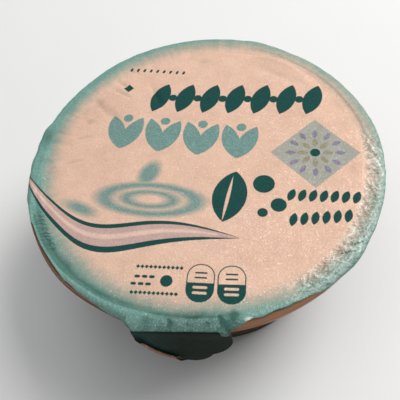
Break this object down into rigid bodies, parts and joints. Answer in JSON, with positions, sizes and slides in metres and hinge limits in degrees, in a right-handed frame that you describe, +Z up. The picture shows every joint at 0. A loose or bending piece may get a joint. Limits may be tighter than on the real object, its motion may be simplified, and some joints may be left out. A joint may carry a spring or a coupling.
{
  "type": "sealed tub of fromage blanc",
  "caption": "Shut round tapered tub with a turned-down rim, sealed by a printed foil lid that wraps the rim and has a rounded pull tab folded down at the front.",
  "frame": {"origin": "on the tub's axis, in the plane of the foot ring that it stands on", "axes": "+Z up, along the tub's axis; +Y to the top of the lid's print; the pull tab hangs on the -Y side"},
  "size_m": [0.161, 0.1629, 0.0761],
  "materials": {
    "tub_plastic": "smooth thin-walled thermoformed plastic, satin, brown with a peach cast on the lip and very dark brown below it",
    "printed_foil": "lacquered aluminium foil, finely embossed, printed peach in the middle and teal round the edge"
  },
  "bodies": {
    "root": {"tub": "tub_plastic", "foil_lid": "printed_foil"}
  },
  "joints": []
}
